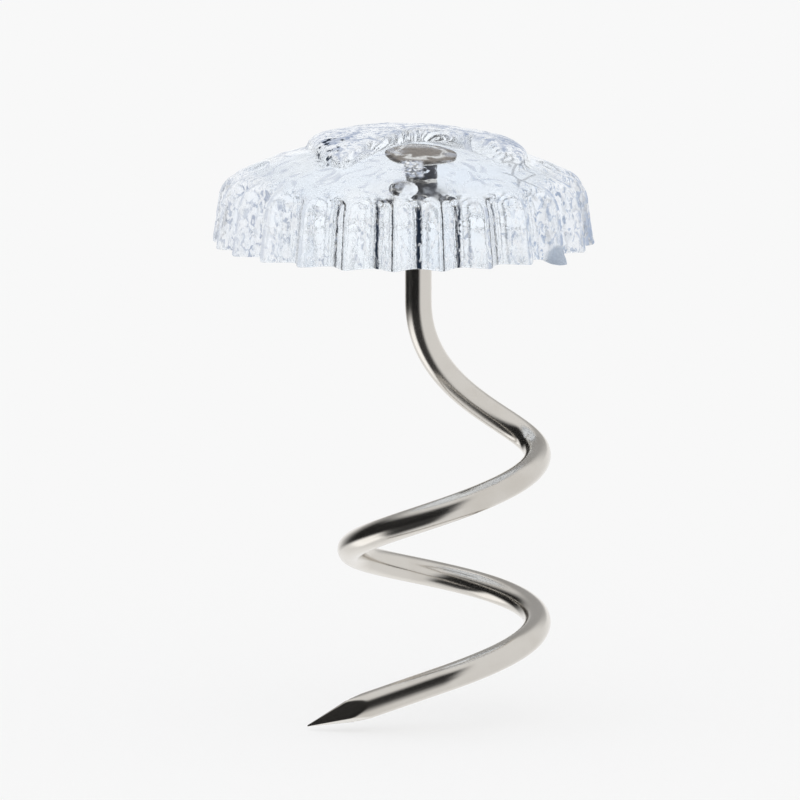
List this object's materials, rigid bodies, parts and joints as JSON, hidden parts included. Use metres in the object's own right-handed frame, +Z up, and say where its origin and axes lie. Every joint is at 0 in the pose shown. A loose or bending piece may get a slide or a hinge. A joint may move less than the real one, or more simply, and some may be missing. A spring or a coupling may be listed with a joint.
{
  "type": "upholstery twist pin",
  "caption": "Clear fluted plastic head with a raised flower, moulded over a headed nickel-plated wire that winds into a right-handed corkscrew with a sharp point.",
  "frame": {"origin": "On the wire's axis, in the plane of the moulded head's flat underside.", "axes": "+Z points up along the shank and through the moulded head. -Y is the front of the pictured view and +X is to its right."},
  "size_m": [0.01, 0.01, 0.0155],
  "materials": {
    "clear_plastic": "clear injection-moulded plastic with polished faces and faint flow ripples",
    "bright_nickel": "bright nickel plating on drawn steel wire"
  },
  "bodies": {
    "root": {"clear_head": "clear_plastic", "twist_wire": "bright_nickel"}
  },
  "joints": []
}
